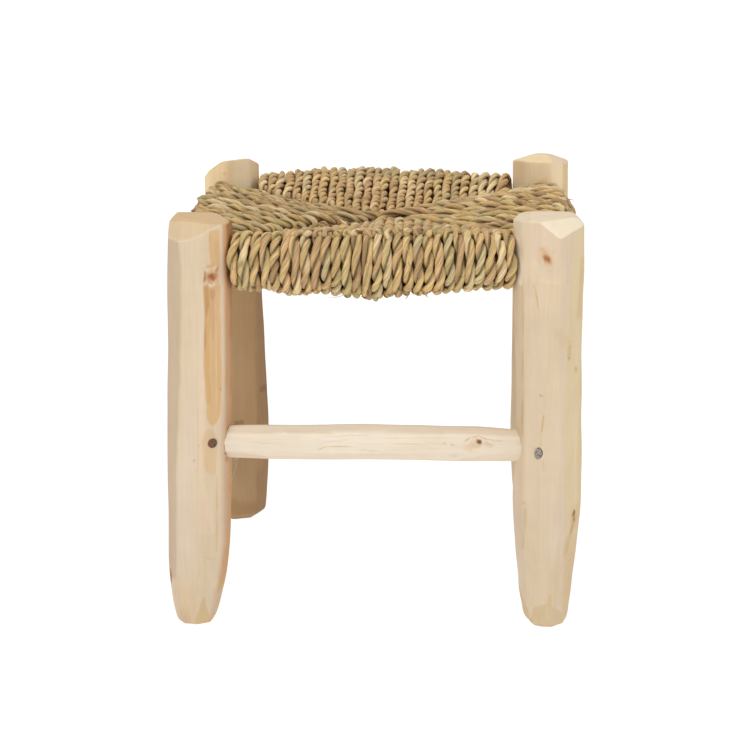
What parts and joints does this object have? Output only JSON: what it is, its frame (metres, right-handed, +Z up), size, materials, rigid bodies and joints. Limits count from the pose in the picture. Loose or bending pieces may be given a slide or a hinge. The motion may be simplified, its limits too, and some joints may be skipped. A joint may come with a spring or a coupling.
{
  "type": "low stool",
  "caption": "Low square stool with hand-shaved wooden legs, nailed stretchers and a seat wound from palm rope in an envelope pattern.",
  "frame": {"origin": "on the floor under the middle of the seat", "axes": "+Z up, -Y towards the front (the side with the single front stretcher), +X to the right seen from the front"},
  "size_m": [0.3485, 0.3459, 0.352],
  "materials": {
    "leg_wood": "bare pale softwood, peeled and shaved with a knife, cream with orange-brown streaks and knots",
    "pale_wood": "bare, very pale shaved softwood",
    "rail_wood": "bare hewn pole, hidden under the rope",
    "nail_steel": "dull grey-brown wire nail",
    "palm_rope": "two-ply twisted palm-leaf rope, straw with greenish and pinkish leaves"
  },
  "bodies": {
    "root": {"leg_front_left": "leg_wood", "leg_front_right": "leg_wood", "leg_back_left": "leg_wood", "leg_back_right": "leg_wood", "seat_rail_front": "rail_wood", "seat_rail_back": "rail_wood", "seat_rail_left": "rail_wood", "seat_rail_right": "rail_wood", "stretcher_front": "pale_wood", "stretcher_left": "pale_wood", "stretcher_right": "pale_wood", "nail_front_left": "nail_steel", "nail_front_right": "nail_steel", "nail_left_front": "nail_steel", "nail_left_back": "nail_steel", "nail_right_front": "nail_steel", "nail_right_back": "nail_steel", "seat_rope": "palm_rope"}
  },
  "joints": []
}
